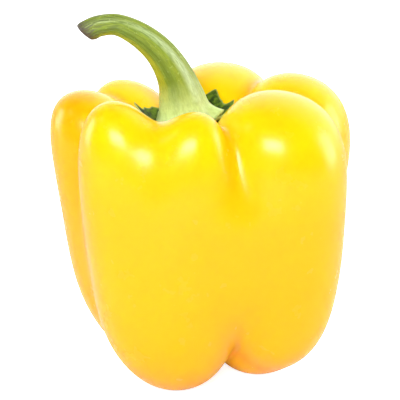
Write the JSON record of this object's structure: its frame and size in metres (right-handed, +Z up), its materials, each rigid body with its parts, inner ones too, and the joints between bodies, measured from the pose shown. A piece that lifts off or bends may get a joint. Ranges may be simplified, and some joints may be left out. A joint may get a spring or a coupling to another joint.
{
  "type": "bell pepper",
  "caption": "Blocky yellow bell pepper standing on its lobed underside, with a green star-edged calyx in the hollow at its top and a thick, ridged, cut stem that bends over.",
  "frame": {"origin": "on the surface that the pepper stands on, under the middle of its outline", "axes": "+Z up; the stem bends over towards -X; -Y is the side with the two lobes that have grown together"},
  "size_m": [0.0878, 0.0776, 0.1082],
  "materials": {
    "skin": "smooth waxy yellow skin with a strong soft gloss",
    "sepals": "dark green leathery sepals with paler edges",
    "stalk": "pale yellow-green stalk with darker streaks, satin, brown at the cut"
  },
  "bodies": {
    "root": {"fruit": "skin", "calyx": "sepals", "stem": "stalk"}
  },
  "joints": []
}
